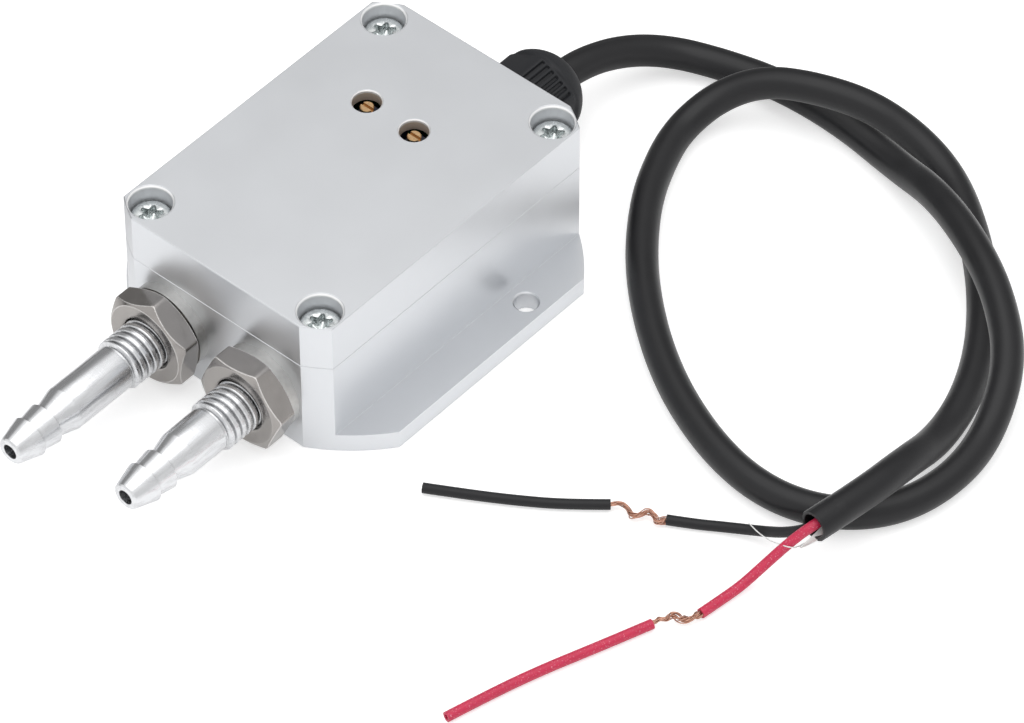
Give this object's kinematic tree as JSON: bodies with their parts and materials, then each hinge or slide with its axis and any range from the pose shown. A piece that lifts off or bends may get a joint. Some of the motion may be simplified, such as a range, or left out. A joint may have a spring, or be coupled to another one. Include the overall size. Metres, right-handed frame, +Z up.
{
  "type": "pressure transmitter",
  "caption": "Wind pressure transmitter in a machined aluminium housing with flange ears, barbed hose fittings, trimmer access holes, a cable gland and a coiled cable with bare wires.",
  "frame": {"origin": "centre of the housing's underside, at the crossing of its two middle planes", "axes": "+Z up out of the lid, +Y out of the cable gland, +X across the housing towards the cable's turns"},
  "size_m": [0.1481, 0.1704, 0.0308],
  "materials": {
    "housing": "clear anodised, fine bead blasted, satin",
    "seal_rubber": "matt",
    "zinc_steel": "bright zinc plated",
    "board": "solder mask",
    "sensor_plastic": "moulded",
    "silicone": "translucent, soft",
    "trimmer_plastic": "moulded",
    "brass": "turned",
    "fitting_aluminium": "bright turned",
    "nickel_brass": "nickel plated",
    "washer_steel": "stamped, satin",
    "gland_nylon": "moulded, semi matt",
    "cable_jacket": "extruded, satin",
    "black_insulation": "extruded",
    "red_insulation": "extruded",
    "copper": "bare strands"
  },
  "bodies": {
    "housing": {"base_housing": "housing", "lid": "housing", "lid_gasket": "seal_rubber", "lid_screws": "zinc_steel", "circuit_board": "board", "board_screws": "zinc_steel", "pressure_sensor": "sensor_plastic", "sensor_hose_1": "silicone", "sensor_hose_2": "silicone", "trimmer_body_1": "trimmer_plastic", "trimmer_body_2": "trimmer_plastic", "hose_fitting_1": "fitting_aluminium", "hose_fitting_2": "fitting_aluminium", "lock_nut_1": "nickel_brass", "lock_nut_2": "nickel_brass", "seal_washer_1": "washer_steel", "seal_washer_2": "washer_steel", "gland_body": "gland_nylon", "gland_o_ring": "seal_rubber", "gland_insert": "seal_rubber", "gland_nut": "gland_nylon", "cable_inner": "cable_jacket", "inner_leads": "black_insulation", "cable_jacket": "cable_jacket", "black_wire": "black_insulation", "red_wire": "red_insulation", "black_conductor": "copper", "red_conductor": "copper", "black_sleeve": "black_insulation", "red_sleeve": "red_insulation"},
    "trimmer_screw_1": {"trimmer_screw_1": "brass"},
    "trimmer_screw_2": {"trimmer_screw_2": "brass"}
  },
  "joints": [
    {"name": "trimmer_turn_1", "type": "hinge", "parent": "housing", "child": "trimmer_screw_1", "pos_m": [-0.0083, 0.013, 0.0296], "axis": [0, 0, 1], "continuous": true},
    {"name": "trimmer_turn_2", "type": "hinge", "parent": "housing", "child": "trimmer_screw_2", "pos_m": [0.003, 0.013, 0.0296], "axis": [0, 0, 1], "continuous": true}
  ]
}
